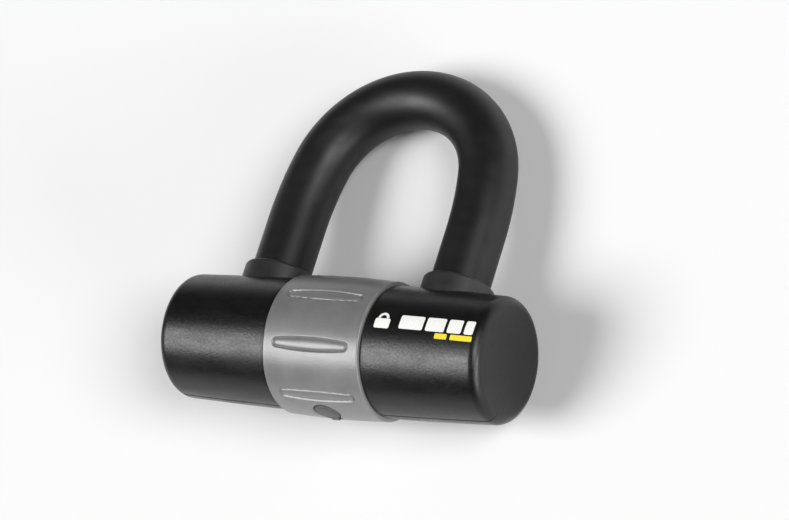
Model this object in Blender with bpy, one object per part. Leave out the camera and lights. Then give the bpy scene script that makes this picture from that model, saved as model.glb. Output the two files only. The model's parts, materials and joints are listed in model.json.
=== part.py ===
"""A shackle disc lock: a bent steel shackle whose two legs lock into a round crossbar.

The lock is drawn level, with the crossbar along X, the legs along Y and the front face up. It is then
laid down: the crossbar's centre band and the shackle's crown both touch the ground, Z = 0. The
shackle stays where it is, and the crossbar pulls off its legs.
"""

from math import asin, cos, pi, radians, sin, sqrt

import bmesh
import bpy
from mathutils import Matrix, Vector

MM = 0.001
GAP = 0.3 * MM  # between two pieces that touch
RUNNING = 0.15 * MM  # between a pin and what turns on it
SIDES = (("left", -1), ("right", 1))

# Crossbar shell: its axis is X
BAR_HALF = 50.8 * MM
BAR_RADIUS = 18.0 * MM  # at the middle; the jackets are barrel shaped
BAR_END_RADIUS = 17.0 * MM
BAR_END_ROUND = 2.9 * MM
JACKET_END_WALL = 3.5 * MM

# Centre band
BAND_HALF = 15.05 * MM
BAND_RADIUS = 19.3 * MM
BAND_EDGE_RADIUS = 18.8 * MM
BAND_EDGE_ROUND = 0.6 * MM
SLOT_COUNT = 8
SLOT_LENGTH = 24.3 * MM
SLOT_WIDTH = 4.5 * MM
SLOT_DEPTH = 0.6 * MM
RIB_WIDTH = 2.8 * MM

# Crossbar core: a steel tube and what fills it
TUBE_RADIUS = 15.2 * MM
TUBE_BORE = 12.4 * MM
TUBE_HALF = 46.7 * MM
CORE_RADIUS = TUBE_BORE - GAP
HOUSING_HALF = 15.4 * MM
HOUSING_PIN = (10.6 * MM, -4.5 * MM)  # x and y of a pin parallel to Z
HOUSING_PIN_RADIUS = 1.5 * MM
END_PLUG = (40.5 * MM, 45.9 * MM)
END_PIN_X = 43.2 * MM
END_PIN_RADIUS = 1.25 * MM
PIN_BEVEL = 0.3 * MM

# Shackle: its legs are parallel to Y, then lean in along a wide arc, and the crown is round
LEG_X = 28.7 * MM
LEG_RADIUS = 7.0 * MM
LEG_TIP = -8.2 * MM
LEG_TIP_BEVEL = 1.5 * MM
LEG_STRAIGHT = 35.8 * MM
SHOULDER_RADIUS = 89.9 * MM
SHOULDER_ANGLE = radians(11.66)
COAT_INNER = LEG_RADIUS + GAP
COAT_RADIUS = 8.15 * MM
COAT_END = 17.1 * MM

# Collars round the legs
COLLAR_RADIUS = 10.0 * MM
COLLAR_TOP = 20.6 * MM
COLLAR_ROUND = 0.8 * MM
COLLAR_SEAT = 16.8 * MM
COLLAR_LOW = 10.0 * MM  # before the tube's shape is cut out of it

# Deadbolts, thrown by a cam with two crank pins
BOLT_LOW = 3.5 * MM
BOLT_HIGH = 9.1 * MM
BOLT_HALF_WIDTH = 5.0 * MM
BOLT_TIP = LEG_X - LEG_RADIUS - 0.8 * MM  # with the bolt drawn back
BOLT_INNER_END = 5.4 * MM
BOLT_TAIL_END = -4.4 * MM
BOLT_TIP_ROOM = 0.6 * MM  # past the thrown bolt, in the leg's notch
CAM_RADIUS = 4.7 * MM
CRANK = 2.6 * MM
CRANK_PIN_RADIUS = 1.0 * MM
CRANK_START = radians(45)

# Key cylinder: its axis is Y, and the key goes in from -Y
BARREL = (-10.2 * MM, 0.7 * MM)
BARREL_RADIUS = 6.5 * MM
BARREL_LIP = 1.2 * MM
BARREL_PIN = (6.7 * MM, -7.6 * MM)  # x and y of a pin parallel to Z
BARREL_PIN_RADIUS = 0.8 * MM
ROTOR_RADIUS = 5.0 * MM
ROTOR_BORE = 4.4 * MM
ROTOR_BACK_WALL = 1.3 * MM
PLATE_THICKNESS = 1.2 * MM
DISC_RADIUS = ROTOR_BORE - GAP
DISC_COUNT = 5
DISC_THICKNESS = 1.0 * MM
DISC_PITCH = 1.35 * MM
KEYWAY_RADIUS = 2.7 * MM
KEYWAY_FLAT = radians(35)
SIDEBAR_HALF = 0.55 * MM

# Keyhole cover: a round flap on a hinge pin along X
KEYHOLE_RADIUS = 3.9 * MM
SLEEVE_RADIUS = KEYHOLE_RADIUS - GAP
SLEEVE_WALL = 0.9 * MM
SLEEVE_BACK = -12.0 * MM
COVER_RADIUS = KEYHOLE_RADIUS - GAP
COVER_FACE = -19.5 * MM
COVER_THICKNESS = 1.2 * MM
COVER_DOME = 0.25 * MM
COVER_EDGE = 0.4 * MM
HINGE_Y = -17.5 * MM
HINGE_Z = -4.9 * MM
KNUCKLE_RADIUS = 0.9 * MM
ARM_HALF = 0.45 * MM  # half the thickness of the neck between the knuckle and the cover
KNUCKLE_HALF = 1.2 * MM
EAR_END = 2.2 * MM
EAR_ROUND_HINGE = 0.8 * MM
HINGE_PIN_RADIUS = 0.42 * MM

# Derived
SHOULDER_LEAN = SHOULDER_RADIUS * (1 - cos(SHOULDER_ANGLE))
CROWN_RADIUS = (LEG_X - SHOULDER_LEAN) / cos(SHOULDER_ANGLE)
CROWN_CENTRE = LEG_STRAIGHT + (SHOULDER_RADIUS - CROWN_RADIUS) * sin(SHOULDER_ANGLE)
CROWN_TOP = CROWN_CENTRE + CROWN_RADIUS
LYING_TILT = asin((BAND_RADIUS - COAT_RADIUS) / CROWN_TOP)
FOOTPRINT_MIDDLE = (CROWN_TOP * cos(LYING_TILT) + COAT_RADIUS - BAND_RADIUS) / 2
BOLT_TRAVEL = 2 * CRANK * sin(CRANK_START)
NECK_FRONT = COVER_FACE + COVER_DOME + GAP
NECK_REACH = sqrt((HINGE_Y - NECK_FRONT) ** 2 + ARM_HALF**2)

COLOURS = {
    "jacket_black": ((0.020, 0.020, 0.021), 0.45, 0.0),
    "coat_black": ((0.022, 0.022, 0.023), 0.38, 0.0),
    "collar_black": ((0.018, 0.018, 0.018), 0.55, 0.0),
    "band_grey": ((0.36, 0.36, 0.37), 0.6, 0.0),
    "cover_grey": ((0.10, 0.10, 0.105), 0.5, 0.0),
    "hard_steel": ((0.52, 0.52, 0.53), 0.3, 1.0),
    "zinc": ((0.60, 0.60, 0.58), 0.45, 1.0),
    "brass": ((0.72, 0.55, 0.26), 0.35, 1.0),
}


# ---------------------------------------------------------------- modelling helpers


def direction_turn(direction):
    """The turn that takes +Z to the direction."""
    return Vector((0, 0, 1)).rotation_difference(Vector(direction)).to_matrix().to_4x4()


ALONG_X = direction_turn((1, 0, 0))
ALONG_Y = direction_turn((0, 1, 0))
ALONG_Z = Matrix.Identity(4)
TO_THE_KEY = direction_turn((0, -1, 0))


def clear_scene():
    for obj in list(bpy.data.objects):
        bpy.data.objects.remove(obj, do_unlink=True)


def axis_empty(name, parent=None, location=(0, 0, 0)):
    empty = bpy.data.objects.new(name, None)
    empty.empty_display_size = 10 * MM
    bpy.context.scene.collection.objects.link(empty)
    empty.parent = parent
    empty.location = location
    return empty


def mesh_object(name, bm, turn=ALONG_Z, place=(0, 0, 0)):
    """An object of the bmesh, turned from +Z to another direction, with outward faces."""
    bmesh.ops.recalc_face_normals(bm, faces=bm.faces)
    bm.transform(turn)
    mesh = bpy.data.meshes.new(name)
    bm.to_mesh(mesh)
    bm.free()
    mesh.shade_smooth()
    mesh.set_sharp_from_angle(angle=radians(35))
    obj = bpy.data.objects.new(name, mesh)
    obj.location = place
    bpy.context.scene.collection.objects.link(obj)
    return obj


def loft(bm, rings, close):
    """Faces between neighbouring rings. A ring of one vertex is a point of the surface."""
    following = rings[1:] + rings[:1] if close else rings[1:]
    for a, b in zip(rings, following):
        sides = max(len(a), len(b))
        for j in range(sides):
            k = (j + 1) % sides
            corners = [a[j % len(a)], a[k % len(a)], b[k % len(b)], b[j % len(b)]]
            corners = list(dict.fromkeys(corners))
            if len(corners) > 2:
                bm.faces.new(corners)


def turned(name, outline, sides, turn, place=(0, 0, 0)):
    """A solid turned from an outline of (radius, height) points.

    An outline that starts and ends on the axis makes a solid; any other is closed into a ring.
    """
    bm = bmesh.new()
    angles = [2 * pi * j / sides for j in range(sides)]
    rings = []
    for radius, height in outline:
        if radius == 0:
            rings.append([bm.verts.new((0, 0, height))])
        else:
            rings.append([bm.verts.new((radius * cos(a), radius * sin(a), height)) for a in angles])
    loft(bm, rings, close=outline[0][0] > 0)
    return mesh_object(name, bm, turn, place)


def rod(name, radius, low, high, sides, turn, place=(0, 0, 0), bevel=0):
    """A round bar, with bevelled ends if a bevel is given."""
    outline = [(0, low), (radius, low + bevel), (radius, high - bevel), (0, high)]
    if bevel:
        outline.insert(1, (radius - bevel, low))
        outline.insert(-1, (radius - bevel, high))
    return turned(name, outline, sides, turn, place)


def pipe(name, bore, radius, low, high, sides, turn):
    """A straight tube with open ends."""
    outline = [(bore, low), (radius, low), (radius, high), (bore, high)]
    return turned(name, outline, sides, turn)


def block(name, low, high):
    bm = bmesh.new()
    bmesh.ops.create_cube(bm, size=1)
    low, high = Vector(low), Vector(high)
    for vert in bm.verts:
        vert.co = [(a + b) / 2 + c * (b - a) for a, b, c in zip(low, high, vert.co)]
    return mesh_object(name, bm)


def prism(name, outline, low, high, turn):
    """An outline of (x, y) points extruded from low to high along the turned Z."""
    bm = bmesh.new()
    ends = [[bm.verts.new((x, y, z)) for x, y in outline] for z in (low, high)]
    loft(bm, ends, close=False)
    for end in ends:
        bm.faces.new(end)
    return mesh_object(name, bm, turn)


def arc(centre, radius, start, end, steps):
    """Points (x, y) along an arc, both ends included."""
    angles = [start + (end - start) * i / steps for i in range(steps + 1)]
    return [(centre[0] + radius * cos(a), centre[1] + radius * sin(a)) for a in angles]


def boolean(obj, parent, operation, helpers):
    """Cut the object with hidden helpers, or join them to it."""
    for helper in helpers:
        helper.parent = parent
        helper.hide_render = True
        helper.display_type = "WIRE"
        modifier = obj.modifiers.new(helper.name, "BOOLEAN")
        modifier.operation = operation
        modifier.solver = "EXACT"
        modifier.object = helper


def cut(obj, parent, *helpers):
    boolean(obj, parent, "DIFFERENCE", helpers)


def join(obj, parent, *helpers):
    boolean(obj, parent, "UNION", helpers)


def finish(obj, parent, look):
    """Hang the object on its parent and give it a material of its own."""
    obj.parent = parent
    colour, roughness, metallic = COLOURS[look]
    material = bpy.data.materials.new(obj.name)
    material.use_nodes = True
    shader = material.node_tree.nodes["Principled BSDF"]
    shader.inputs["Base Color"].default_value = (*colour, 1)
    shader.inputs["Roughness"].default_value = roughness
    shader.inputs["Metallic"].default_value = metallic
    obj.data.materials.append(material)


# ---------------------------------------------------------------- shackle


def shackle_route(start):
    """(x, y) points along the shackle's centreline, from the left leg to the right one."""
    right = [(LEG_X, start)]
    right += arc((LEG_X - SHOULDER_RADIUS, LEG_STRAIGHT), SHOULDER_RADIUS, 0, SHOULDER_ANGLE, 3)
    right += arc((0, CROWN_CENTRE), CROWN_RADIUS, SHOULDER_ANGLE, pi / 2, 9)[1:]
    left = [(-x, y) for x, y in right[:-1]]
    return left + right[::-1]


def swept(name, route, radius, sides, bore=0, bevel=0):
    """A round bar, or a tube with open ends, along a route in the XY plane."""
    bm = bmesh.new()
    points = [Vector((x, y, 0)) for x, y in route]
    last = len(points) - 1
    angles = [2 * pi * j / sides for j in range(sides)]

    def circle(index, r, shift=0.0):
        along = (points[min(index + 1, last)] - points[max(index - 1, 0)]).normalized()
        across = Vector((along.y, -along.x, 0))
        centre = points[index] + along * shift
        return [bm.verts.new(centre + r * (across * cos(a) + Vector((0, 0, sin(a))))) for a in angles]

    rings = [circle(0, radius, bevel)]
    rings += [circle(i, radius) for i in range(1, last)]
    rings += [circle(last, radius, -bevel)]
    if bevel:
        rings = [circle(0, radius - bevel)] + rings + [circle(last, radius - bevel)]
    if bore:
        rings += [circle(i, bore) for i in range(last, -1, -1)]
        loft(bm, rings, close=True)
    else:
        loft(bm, rings, close=False)
        bm.faces.new(rings[0])
        bm.faces.new(rings[-1])
    return mesh_object(name, bm)


def make_shackle(lock):
    """The bent bar, with a notch for the bolt in each leg, and its coat between the collars."""
    core = swept("shackle_core", shackle_route(LEG_TIP), LEG_RADIUS, 20, bevel=LEG_TIP_BEVEL)
    notch_floor = BOLT_TIP + BOLT_TRAVEL + BOLT_TIP_ROOM
    for side, sign in SIDES:
        x_low, x_high = sorted((sign * BOLT_TIP, sign * notch_floor))
        low = (x_low, BOLT_LOW - 2 * GAP, -2 * LEG_RADIUS)
        high = (x_high, BOLT_HIGH + 2 * GAP, 2 * LEG_RADIUS)
        cut(core, lock, block("notch_cutter_" + side, low, high))
    finish(core, lock, "hard_steel")
    coat = swept("shackle_coat", shackle_route(COAT_END), COAT_RADIUS, 20, bore=COAT_INNER)
    finish(coat, lock, "coat_black")


# ---------------------------------------------------------------- crossbar shell


def jacket_radius(x):
    """The jackets swell from their ends to the middle along a parabola."""
    return BAR_RADIUS - (BAR_RADIUS - BAR_END_RADIUS) * (x / BAR_HALF) ** 2


def make_jacket(side, sign, bar):
    """A moulded cup over one end of the tube, with a hole for the collar."""
    start = BAND_HALF + GAP
    round_start = BAR_HALF - BAR_END_ROUND
    inside_end = BAR_HALF - JACKET_END_WALL
    bore = TUBE_RADIUS + GAP
    steps = 4
    xs = [start + (round_start - start) * i / steps for i in range(steps + 1)]
    corner = (jacket_radius(round_start) - BAR_END_ROUND, round_start)
    outline = [(0, inside_end), (bore, inside_end), (bore, start)]
    outline += [(jacket_radius(x), x) for x in xs]
    outline += arc(corner, BAR_END_ROUND, 0, pi / 2, 5)[1:]
    outline += [(0, BAR_HALF)]
    jacket = turned("jacket_" + side, outline, 40, direction_turn((sign, 0, 0)))
    place = (sign * LEG_X, 0, 0)
    hole = rod("collar_hole_cutter_" + side, COLLAR_RADIUS + GAP, 0, 2 * BAR_RADIUS, 32, ALONG_Y, place)
    cut(jacket, bar, hole)
    finish(jacket, bar, "jacket_black")


def make_collar(side, sign, bar):
    """A seal round one leg: it sits on the tube and stands out of the jacket."""
    bore = COAT_RADIUS + GAP
    leg_bore = LEG_RADIUS + GAP
    top_centre = (COLLAR_RADIUS - COLLAR_ROUND, COLLAR_TOP - COLLAR_ROUND)
    outline = [(leg_bore, COLLAR_LOW), (COLLAR_RADIUS, COLLAR_LOW)]
    outline += arc(top_centre, COLLAR_ROUND, 0, pi / 2, 4)
    outline += [(bore, COLLAR_TOP), (bore, COLLAR_SEAT), (leg_bore, COLLAR_SEAT)]
    collar = turned("collar_" + side, outline, 32, ALONG_Y, (sign * LEG_X, 0, 0))
    seat = rod("collar_seat_cutter_" + side, TUBE_RADIUS + GAP, -TUBE_HALF, TUBE_HALF, 38, ALONG_X)
    cut(collar, bar, seat)
    finish(collar, bar, "collar_black")


def band_outline():
    """(radius, x) points of the crowned band with rounded edges."""
    bore = TUBE_RADIUS + GAP
    edge = BAND_HALF - BAND_EDGE_ROUND
    round_radius = BAND_EDGE_RADIUS - BAND_EDGE_ROUND
    steps = 4
    xs = [-edge + 2 * edge * i / steps for i in range(steps + 1)]
    drop = BAND_RADIUS - BAND_EDGE_RADIUS
    outline = [(bore, -BAND_HALF)]
    outline += arc((round_radius, -edge), BAND_EDGE_ROUND, -pi / 2, 0, 2)[:-1]
    outline += [(BAND_RADIUS - drop * (x / edge) ** 2, x) for x in xs]
    outline += arc((round_radius, edge), BAND_EDGE_ROUND, 0, pi / 2, 2)[1:]
    outline += [(bore, BAND_HALF)]
    return outline


def cigar(half_length, half_width):
    """A long round-ended outline whose sides bulge a little."""
    count = 16
    angles = [2 * pi * (i + 0.5) / count for i in range(count)]
    return [(half_length * cos(a) / sqrt(abs(cos(a))), half_width * sin(a)) for a in angles]


def slot_cutter(name, angle):
    """A long ring across the band's surface at one angle: the rib inside it stays."""
    outside = cigar(SLOT_LENGTH / 2, SLOT_WIDTH / 2)
    inside = cigar((SLOT_LENGTH - SLOT_WIDTH + RIB_WIDTH) / 2, RIB_WIDTH / 2)
    floor, top = BAND_RADIUS - SLOT_DEPTH, 2 * BAND_RADIUS
    bm = bmesh.new()
    layers = [(outside, floor), (outside, top), (inside, top), (inside, floor)]
    loft(bm, [[bm.verts.new((x, y, z)) for x, y in loop] for loop, z in layers], close=True)
    return mesh_object(name, bm, Matrix.Rotation(angle, 4, "X"))


def make_band(bar):
    """The soft grip band, with long slots round it and a hole for the key between two of them."""
    band = turned("centre_band", band_outline(), 48, ALONG_X)
    for i in range(SLOT_COUNT):
        angle = 2 * pi * (i + 0.5) / SLOT_COUNT
        cut(band, bar, slot_cutter("slot_cutter_%d" % (i + 1), angle))
    hole = rod("band_keyhole_cutter", KEYHOLE_RADIUS, BAR_RADIUS / 2, 2 * BAR_RADIUS, 28, TO_THE_KEY)
    pocket_side = EAR_END + GAP
    pocket_low = (-pocket_side, -2 * BAR_RADIUS, HINGE_Z - NECK_REACH - GAP)
    pocket_high = (pocket_side, HINGE_Y + KNUCKLE_RADIUS + 2 * GAP, -KEYHOLE_RADIUS / 2)
    cut(band, bar, hole, block("hinge_pocket_cutter", pocket_low, pocket_high))
    finish(band, bar, "band_grey")


# ---------------------------------------------------------------- crossbar core


def cross_hole(name, radius, x, y=0.0):
    """A cutter for a pin's hole, parallel to Z."""
    return rod(name, radius + GAP, -2 * BAR_RADIUS, 2 * BAR_RADIUS, 14, ALONG_Z, (x, y, 0))


def cross_pin(name, radius, x, y, reach, bar):
    """A pin parallel to Z."""
    pin = rod(name, radius, -reach, reach, 14, ALONG_Z, (x, y, 0), bevel=PIN_BEVEL)
    finish(pin, bar, "hard_steel")


def make_tube(bar):
    """The steel tube, with holes for the legs, the pins and the key."""
    tube = pipe("crossbar_tube", TUBE_BORE, TUBE_RADIUS, -TUBE_HALF, TUBE_HALF, 36, ALONG_X)
    pin_x, pin_y = HOUSING_PIN
    for side, sign in SIDES:
        place = (sign * LEG_X, 0, 0)
        leg_hole = rod("tube_leg_cutter_" + side, LEG_RADIUS + GAP, 0, 2 * TUBE_RADIUS, 28, ALONG_Y, place)
        end_pin_hole = cross_hole("tube_end_pin_cutter_" + side, END_PIN_RADIUS, sign * END_PIN_X)
        housing_pin_hole = cross_hole("tube_pin_cutter_" + side, HOUSING_PIN_RADIUS, sign * pin_x, pin_y)
        cut(tube, bar, leg_hole, end_pin_hole, housing_pin_hole)
    keyhole = rod("tube_keyhole_cutter", KEYHOLE_RADIUS, TUBE_BORE / 2, 2 * TUBE_RADIUS, 28, TO_THE_KEY)
    cut(tube, bar, keyhole)
    finish(tube, bar, "hard_steel")


def make_end(side, sign, bar):
    """The steel plug in one end of the tube, and the pin that holds it."""
    turn = direction_turn((sign, 0, 0))
    plug = rod("end_plug_" + side, CORE_RADIUS, *END_PLUG, 28, turn, bevel=2 * PIN_BEVEL)
    cut(plug, bar, cross_hole("end_plug_cutter_" + side, END_PIN_RADIUS, sign * END_PIN_X))
    finish(plug, bar, "hard_steel")
    cross_pin("end_pin_" + side, END_PIN_RADIUS, sign * END_PIN_X, 0, TUBE_RADIUS - GAP, bar)


def bolt_channel(name, start, end):
    x_low, x_high = sorted((start, end))
    low = (x_low, BOLT_LOW - GAP, -BOLT_HALF_WIDTH - GAP)
    high = (x_high, BOLT_HIGH + GAP, BOLT_HALF_WIDTH + GAP)
    return block(name, low, high)


def make_guide(side, sign, bar):
    """The block inside the tube that one leg slides into, with a channel for the bolt."""
    turn = direction_turn((sign, 0, 0))
    guide = rod("leg_guide_" + side, CORE_RADIUS, HOUSING_HALF + GAP, END_PLUG[0] - GAP, 28, turn)
    place = (sign * LEG_X, 0, 0)
    floor, top = LEG_TIP - GAP, 2 * TUBE_RADIUS
    bore = rod("guide_bore_cutter_" + side, LEG_RADIUS + GAP, floor, top, 28, ALONG_Y, place)
    channel = bolt_channel("guide_bolt_cutter_" + side, sign * HOUSING_HALF / 2, sign * LEG_X)
    cut(guide, bar, bore, channel)
    finish(guide, bar, "zinc")


def make_housing(bar):
    """The cast block in the middle that holds the key cylinder, the cam and the bolts."""
    housing = rod("lock_housing", CORE_RADIUS, -HOUSING_HALF, HOUSING_HALF, 28, ALONG_X)
    bore = rod("barrel_bore_cutter", BARREL_RADIUS + GAP, -2 * BAR_RADIUS, BARREL[1] + GAP, 32, ALONG_Y)
    cam_room = rod("cam_room_cutter", CAM_RADIUS + 2 * GAP, 0, (BOLT_LOW + BOLT_HIGH) / 2, 28, ALONG_Y)
    channel = bolt_channel("housing_bolt_cutter", -2 * HOUSING_HALF, 2 * HOUSING_HALF)
    cut(housing, bar, bore, cam_room, channel)
    cut(housing, bar, cross_hole("housing_barrel_pin_cutter", BARREL_PIN_RADIUS, *BARREL_PIN))
    pin_x, pin_y = HOUSING_PIN
    reach = sqrt(TUBE_RADIUS**2 - pin_y**2) - GAP
    for side, sign in SIDES:
        cut(housing, bar, cross_hole("housing_pin_cutter_" + side, HOUSING_PIN_RADIUS, sign * pin_x, pin_y))
        cross_pin("housing_pin_" + side, HOUSING_PIN_RADIUS, sign * pin_x, pin_y, reach, bar)
    finish(housing, bar, "zinc")


# ---------------------------------------------------------------- key cylinder


def make_barrel(bar):
    """The cylinder's fixed shell, with a lip in front, a groove for the locking bar, and its pin."""
    front, back = BARREL
    bore = ROTOR_RADIUS + GAP
    outline = [(SLEEVE_RADIUS, front), (BARREL_RADIUS, front), (BARREL_RADIUS, back), (bore, back)]
    outline += [(bore, front + BARREL_LIP), (SLEEVE_RADIUS, front + BARREL_LIP)]
    barrel = turned("cylinder_barrel", outline, 32, ALONG_Y)
    groove_low = (-SIDEBAR_HALF - GAP, front + 2 * BARREL_LIP, 0)
    groove_high = (SIDEBAR_HALF + GAP, 2 * back, BARREL_RADIUS - 2 * GAP)
    groove = block("sidebar_groove_cutter", groove_low, groove_high)
    cut(barrel, bar, groove, cross_hole("barrel_notch_cutter", BARREL_PIN_RADIUS, *BARREL_PIN))
    finish(barrel, bar, "brass")
    reach = sqrt(CORE_RADIUS**2 - BARREL_PIN[1] ** 2) - GAP
    cross_pin("barrel_pin", BARREL_PIN_RADIUS, *BARREL_PIN, reach, bar)


def keyway_cutter(name, low, high):
    """A half-round keyway: most of a circle, with one flat side."""
    outline = arc((0, 0), KEYWAY_RADIUS, -KEYWAY_FLAT, pi + KEYWAY_FLAT, 14)
    return prism(name, outline, low, high, ALONG_Y)


def make_rotor(turning):
    """What the key turns: the rotor, its hard front plate, its discs and the locking bar."""
    front = BARREL[0] + BARREL_LIP + GAP
    back = BARREL[1]
    inner_back = back - ROTOR_BACK_WALL
    outline = [(0, inner_back), (ROTOR_BORE, inner_back), (ROTOR_BORE, front)]
    outline += [(ROTOR_RADIUS, front), (ROTOR_RADIUS, back), (0, back)]
    rotor = turned("lock_rotor", outline, 32, ALONG_Y)
    plate_end = front + PLATE_THICKNESS
    slot_low = (-SIDEBAR_HALF - GAP, plate_end, DISC_RADIUS)
    slot_high = (SIDEBAR_HALF + GAP, inner_back, 2 * ROTOR_RADIUS)
    cut(rotor, turning, block("sidebar_slot_cutter", slot_low, slot_high))
    finish(rotor, turning, "brass")

    plate = rod("anti_drill_plate", DISC_RADIUS, front, plate_end, 24, ALONG_Y)
    cut(plate, turning, keyway_cutter("plate_keyway_cutter", 2 * front, 0))
    finish(plate, turning, "hard_steel")
    for i in range(1, DISC_COUNT + 1):
        low = plate_end + GAP + (i - 1) * DISC_PITCH
        disc = rod("code_disc_%d" % i, DISC_RADIUS, low, low + DISC_THICKNESS, 24, ALONG_Y)
        cut(disc, turning, keyway_cutter("disc_keyway_cutter_%d" % i, 2 * front, back))
        finish(disc, turning, "brass")
    bar_low = (-SIDEBAR_HALF, plate_end + GAP, ROTOR_BORE)
    bar_high = (SIDEBAR_HALF, inner_back - GAP, ROTOR_RADIUS)
    finish(block("locking_bar", bar_low, bar_high), turning, "hard_steel")


def make_cam(turning):
    """The disc behind the rotor, with one crank pin for each bolt."""
    low, high = BARREL[1] + GAP, BOLT_LOW - GAP
    cam = rod("bolt_cam", CAM_RADIUS, low, high, 24, ALONG_Y)
    pin_end = BOLT_HIGH - 3 * GAP
    for i in range(2):
        angle = i * pi - CRANK_START
        place = (CRANK * sin(angle), 0, CRANK * cos(angle))
        name = "crank_pin_%d" % (i + 1)
        join(cam, turning, rod(name, CRANK_PIN_RADIUS, (low + high) / 2, pin_end, 14, ALONG_Y, place))
    finish(cam, turning, "hard_steel")


def make_bolt(side, sign, sliding):
    """A deadbolt whose narrow tail has a slot for its crank pin. One bolt is the other's half turn."""
    low = (BOLT_INNER_END, BOLT_LOW, -BOLT_HALF_WIDTH)
    high = (BOLT_TIP, BOLT_HIGH, BOLT_HALF_WIDTH)
    bolt = block("bolt_" + side, low, high)
    tail_low = (BOLT_TAIL_END, BOLT_LOW, GAP)
    tail_high = ((BOLT_INNER_END + BOLT_TIP) / 2, BOLT_HIGH, BOLT_HALF_WIDTH)
    tail = block("bolt_tail_" + side, tail_low, tail_high)
    reach = CRANK_PIN_RADIUS + GAP
    pin_x = -CRANK * sin(CRANK_START)
    slot_low = (pin_x - reach, 0, CRANK * cos(CRANK_START) - reach)
    slot_high = (pin_x + reach, 2 * BOLT_HIGH, CRANK + reach)
    slot = block("bolt_slot_cutter_" + side, slot_low, slot_high)
    join(bolt, sliding, tail)
    cut(bolt, sliding, slot)
    if sign < 0:
        for obj in (bolt, tail, slot):
            obj.data.transform(Matrix.Rotation(pi, 4, "Y"))
    finish(bolt, sliding, "hard_steel")


# ---------------------------------------------------------------- keyhole


def make_keyhole(bar):
    """The sleeve that lines the keyhole, with two ears for the cover's hinge pin, and the pin."""
    front = COVER_FACE + COVER_THICKNESS + GAP
    bore = SLEEVE_RADIUS - SLEEVE_WALL
    sleeve = pipe("keyhole_sleeve", bore, SLEEVE_RADIUS, front, SLEEVE_BACK, 28, ALONG_Y)
    ear_back = HINGE_Y + KNUCKLE_RADIUS
    ear_low = (-EAR_END, HINGE_Y - EAR_ROUND_HINGE, HINGE_Z - EAR_ROUND_HINGE)
    ear_high = (EAR_END, ear_back, -(bore + SLEEVE_RADIUS) / 2)
    join(sleeve, bar, block("hinge_ears", ear_low, ear_high))
    between_low = (-KNUCKLE_HALF - GAP, 2 * HINGE_Y, 2 * HINGE_Z)
    between_high = (KNUCKLE_HALF + GAP, ear_back + GAP, HINGE_Z + KNUCKLE_RADIUS + GAP)
    between = block("between_ears_cutter", between_low, between_high)
    over_low = (-2 * EAR_END, 2 * HINGE_Y, HINGE_Z + EAR_ROUND_HINGE)
    over = block("over_ears_cutter", over_low, (2 * EAR_END, front, 0))
    pin_hole = rod("ear_hole_cutter", HINGE_PIN_RADIUS + RUNNING, -2 * EAR_END, 2 * EAR_END, 12, ALONG_X)
    pin_hole.location = (0, HINGE_Y, HINGE_Z)
    cut(sleeve, bar, between, over, pin_hole)
    finish(sleeve, bar, "cover_grey")
    pin = rod("cover_hinge_pin", HINGE_PIN_RADIUS, -EAR_END, EAR_END, 12, ALONG_X, (0, HINGE_Y, HINGE_Z))
    finish(pin, bar, "hard_steel")


def make_cover(hinge):
    """The round flap over the keyhole, drawn from its hinge axis."""
    face, back = -COVER_FACE, -COVER_FACE - COVER_THICKNESS
    shoulder = face - COVER_DOME
    outline = [(0, face), (COVER_RADIUS * 0.6, face - COVER_DOME * 0.36)]
    outline += [(COVER_RADIUS - COVER_EDGE, shoulder), (COVER_RADIUS, shoulder - COVER_EDGE)]
    outline += [(COVER_RADIUS, back + COVER_EDGE), (COVER_RADIUS - COVER_EDGE, back), (0, back)]
    cover = turned("keyhole_cover", outline, 28, TO_THE_KEY, (0, -HINGE_Y, -HINGE_Z))
    knuckle = rod("cover_knuckle", KNUCKLE_RADIUS, -KNUCKLE_HALF, KNUCKLE_HALF, 16, ALONG_X)
    neck_front = NECK_FRONT - HINGE_Y
    arm_high = (KNUCKLE_HALF, -HINGE_Y - back - RUNNING / 2, COVER_RADIUS / 2)
    arm = block("cover_arm", (-KNUCKLE_HALF, neck_front, -ARM_HALF), arm_high)
    neck = block("cover_neck", (-KNUCKLE_HALF, neck_front, -ARM_HALF), (KNUCKLE_HALF, 0, ARM_HALF))
    pin_room = rod("cover_pin_cutter", HINGE_PIN_RADIUS + RUNNING, -EAR_END, EAR_END, 12, ALONG_X)
    join(cover, hinge, arm, neck, knuckle)
    cut(cover, hinge, pin_room)
    finish(cover, hinge, "cover_grey")


# ---------------------------------------------------------------- assembly


def main():
    clear_scene()
    lock = axis_empty("lock_lying_down", location=(0, -FOOTPRINT_MIDDLE, BAND_RADIUS))
    lock.rotation_euler.x = -LYING_TILT
    bar = axis_empty("crossbar_slide", lock)
    turning = axis_empty("key_turn", bar)
    make_shackle(lock)
    make_tube(bar)
    make_band(bar)
    for side, sign in SIDES:
        make_jacket(side, sign, bar)
        make_collar(side, sign, bar)
        make_end(side, sign, bar)
        make_guide(side, sign, bar)
        make_bolt(side, sign, axis_empty("bolt_slide_" + side, bar))
    make_housing(bar)
    make_barrel(bar)
    make_rotor(turning)
    make_cam(turning)
    make_keyhole(bar)
    make_cover(axis_empty("cover_swing", bar, (0, HINGE_Y, HINGE_Z)))


main()
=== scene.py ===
"""The finished look of a shackle disc lock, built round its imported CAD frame.

Pieces are drawn in the lock's own level frame and then laid down with it: X runs along the crossbar,
Y from the crossbar to the shackle's crown, and Z out of the front face. The key goes in from -Y.
An angle round the crossbar is counted from -Y towards +Z.
"""

import json
from math import ceil, cos, pi, radians, sin, sqrt

import bmesh
import bpy
import numpy as np
from mathutils import Matrix, Vector


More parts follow.
